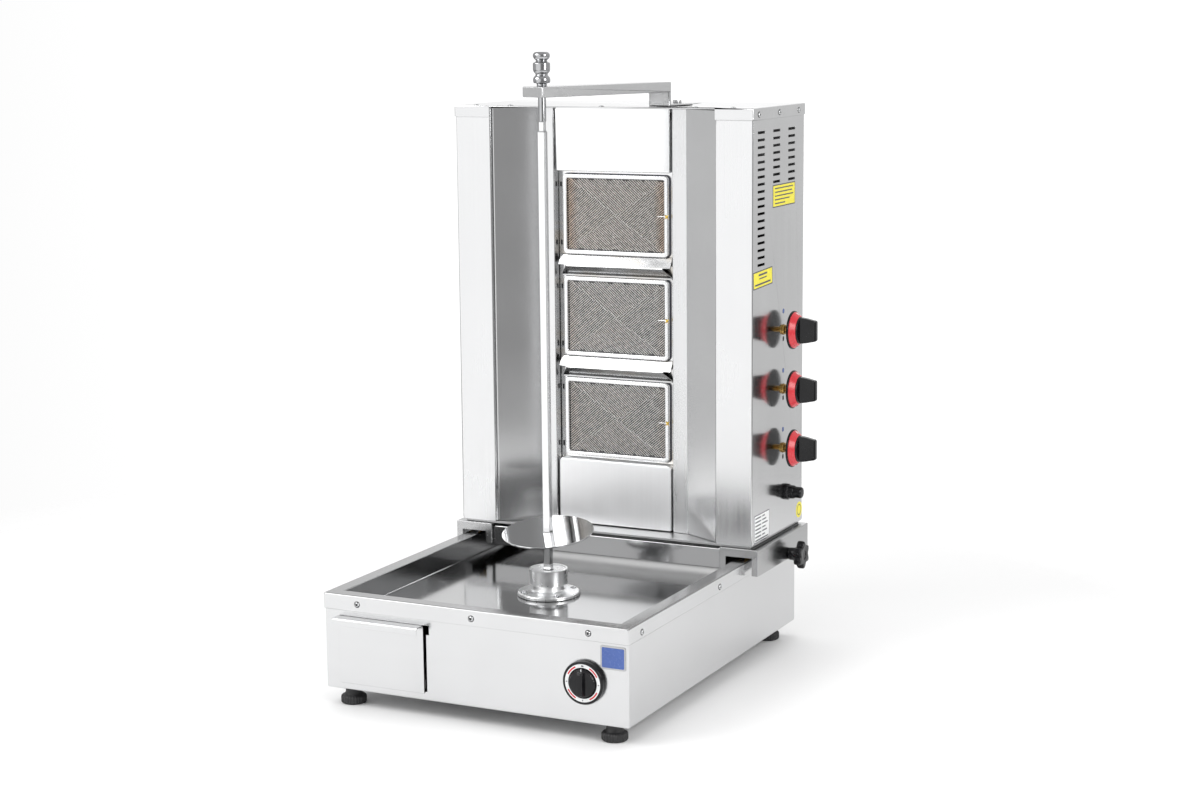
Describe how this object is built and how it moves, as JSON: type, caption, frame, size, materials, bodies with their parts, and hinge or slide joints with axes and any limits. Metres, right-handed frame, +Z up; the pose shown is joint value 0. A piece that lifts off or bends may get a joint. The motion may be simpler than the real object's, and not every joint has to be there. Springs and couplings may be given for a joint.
{
  "type": "vertical rotisserie broiler",
  "caption": "Countertop vertical gas broiler with a driven upright skewer over a drip pan and a sliding burner tower with side controls.",
  "frame": {"origin": "centre of the whole machine's footprint, at the level of the feet's undersides", "axes": "+Z up along the skewer, -Y towards the cook and the drip pan's front, +X towards the gas knobs"},
  "size_m": [0.5444, 0.643, 0.8976],
  "materials": {
    "brushed_stainless": "brushed",
    "polished_stainless": "mirror polished",
    "chrome": "plated",
    "brass": "machined",
    "cast_iron": "as cast",
    "ceramic": "porous, unglazed",
    "black_plastic": "satin",
    "knob_plastic": "glossy"
  },
  "bodies": {
    "base": {"base_housing": "brushed_stainless", "bottom_plate": "brushed_stainless", "drip_pan": "polished_stainless", "foot_front_left": "black_plastic", "foot_front_right": "black_plastic", "foot_rear_left": "black_plastic", "foot_rear_right": "black_plastic", "motor_bracket": "brushed_stainless", "gear_motor": "cast_iron", "hub_flange": "chrome", "speed_control": "black_plastic", "cable_gland": "black_plastic"},
    "speed_knob": {"speed_knob": "black_plastic"},
    "spindle": {"drive_shaft": "brushed_stainless", "coupling": "brushed_stainless", "skewer_bar": "polished_stainless"},
    "meat_plate": {"meat_plate": "polished_stainless"},
    "drawer": {"drawer_tray": "brushed_stainless", "drawer_front": "brushed_stainless"},
    "tower": {"bracket_left": "brushed_stainless", "bracket_right": "brushed_stainless", "slide_pad_left": "brass", "slide_pad_right": "brass", "cross_panel": "polished_stainless", "tower_floor": "brushed_stainless", "side_panel_left": "brushed_stainless", "side_panel_right": "brushed_stainless", "wing_left": "polished_stainless", "wing_right": "polished_stainless", "back_panel": "brushed_stainless", "lid": "brushed_stainless", "cover_top": "polished_stainless", "cover_bottom": "polished_stainless", "burner_plate": "polished_stainless", "deflector_lower": "polished_stainless", "deflector_upper": "polished_stainless", "burner_1_body": "cast_iron", "burner_1_tile": "ceramic", "burner_1_screen": "brushed_stainless", "burner_2_body": "cast_iron", "burner_2_tile": "ceramic", "burner_2_screen": "brushed_stainless", "burner_3_body": "cast_iron", "burner_3_tile": "ceramic", "burner_3_screen": "brushed_stainless", "gas_manifold": "brushed_stainless", "gas_valve_1": "brass", "gas_valve_2": "brass", "gas_valve_3": "brass", "igniter_body": "black_plastic"},
    "igniter_button": {"igniter_button": "black_plastic"},
    "lock_knob": {"lock_knob": "black_plastic"},
    "top_arm": {"top_arm": "brushed_stainless"},
    "lift_pin": {"lift_pin": "chrome"},
    "valve_stem_1": {"valve_stem_1": "brass"},
    "gas_knob_1": {"gas_knob_1": "knob_plastic"},
    "valve_stem_2": {"valve_stem_2": "brass"},
    "gas_knob_2": {"gas_knob_2": "knob_plastic"},
    "valve_stem_3": {"valve_stem_3": "brass"},
    "gas_knob_3": {"gas_knob_3": "knob_plastic"}
  },
  "joints": [
    {"name": "tower_slide", "type": "slide", "parent": "base", "child": "tower", "axis": [0, -1, 0], "range_m": [0, 0.08]},
    {"name": "arm_slide", "type": "slide", "parent": "tower", "child": "top_arm", "axis": [0, -1, 0], "range_m": [-0.08, 0]},
    {"name": "pin_lift", "type": "slide", "parent": "top_arm", "child": "lift_pin", "axis": [0, 0, 1], "range_m": [0, 0.03]},
    {"name": "spindle_turn", "type": "hinge", "parent": "base", "child": "spindle", "pos_m": [-0.0212, -0.0765, 0.15], "axis": [0, 0, 1], "continuous": true},
    {"name": "plate_lift", "type": "slide", "parent": "spindle", "child": "meat_plate", "axis": [0, 0, 1], "range_m": [0, 0.56]},
    {"name": "drawer_slide", "type": "slide", "parent": "base", "child": "drawer", "axis": [0, -1, 0], "range_m": [0, 0.3]},
    {"name": "speed_turn", "type": "hinge", "parent": "base", "child": "speed_knob", "pos_m": [0.1488, -0.3095, 0.081], "axis": [0, -1, 0], "range_deg": [-270, 0]},
    {"name": "lock_turn", "type": "hinge", "parent": "tower", "child": "lock_knob", "pos_m": [0.2408, 0.2235, 0.146], "axis": [1, 0, 0], "range_deg": [0, 360]},
    {"name": "igniter_press", "type": "slide", "parent": "tower", "child": "igniter_button", "axis": [-1, 0, 0], "range_m": [0, 0.006], "stiffness_N_per_m": 800},
    {"name": "valve_press_1", "type": "slide", "parent": "tower", "child": "valve_stem_1", "axis": [-1, 0, 0], "range_m": [0, 0.003], "stiffness_N_per_m": 1500},
    {"name": "gas_turn_1", "type": "hinge", "parent": "valve_stem_1", "child": "gas_knob_1", "pos_m": [0.2488, 0.2235, 0.3074], "axis": [1, 0, 0], "range_deg": [0, 180]},
    {"name": "valve_press_2", "type": "slide", "parent": "tower", "child": "valve_stem_2", "axis": [-1, 0, 0], "range_m": [0, 0.003], "stiffness_N_per_m": 1500},
    {"name": "gas_turn_2", "type": "hinge", "parent": "valve_stem_2", "child": "gas_knob_2", "pos_m": [0.2488, 0.2235, 0.3962], "axis": [1, 0, 0], "range_deg": [0, 180]},
    {"name": "valve_press_3", "type": "slide", "parent": "tower", "child": "valve_stem_3", "axis": [-1, 0, 0], "range_m": [0, 0.003], "stiffness_N_per_m": 1500},
    {"name": "gas_turn_3", "type": "hinge", "parent": "valve_stem_3", "child": "gas_knob_3", "pos_m": [0.2488, 0.2235, 0.485], "axis": [1, 0, 0], "range_deg": [0, 180]}
  ],
  "couplings": [
    {"joint": "arm_slide", "follows": "tower_slide", "ratio": -1}
  ]
}
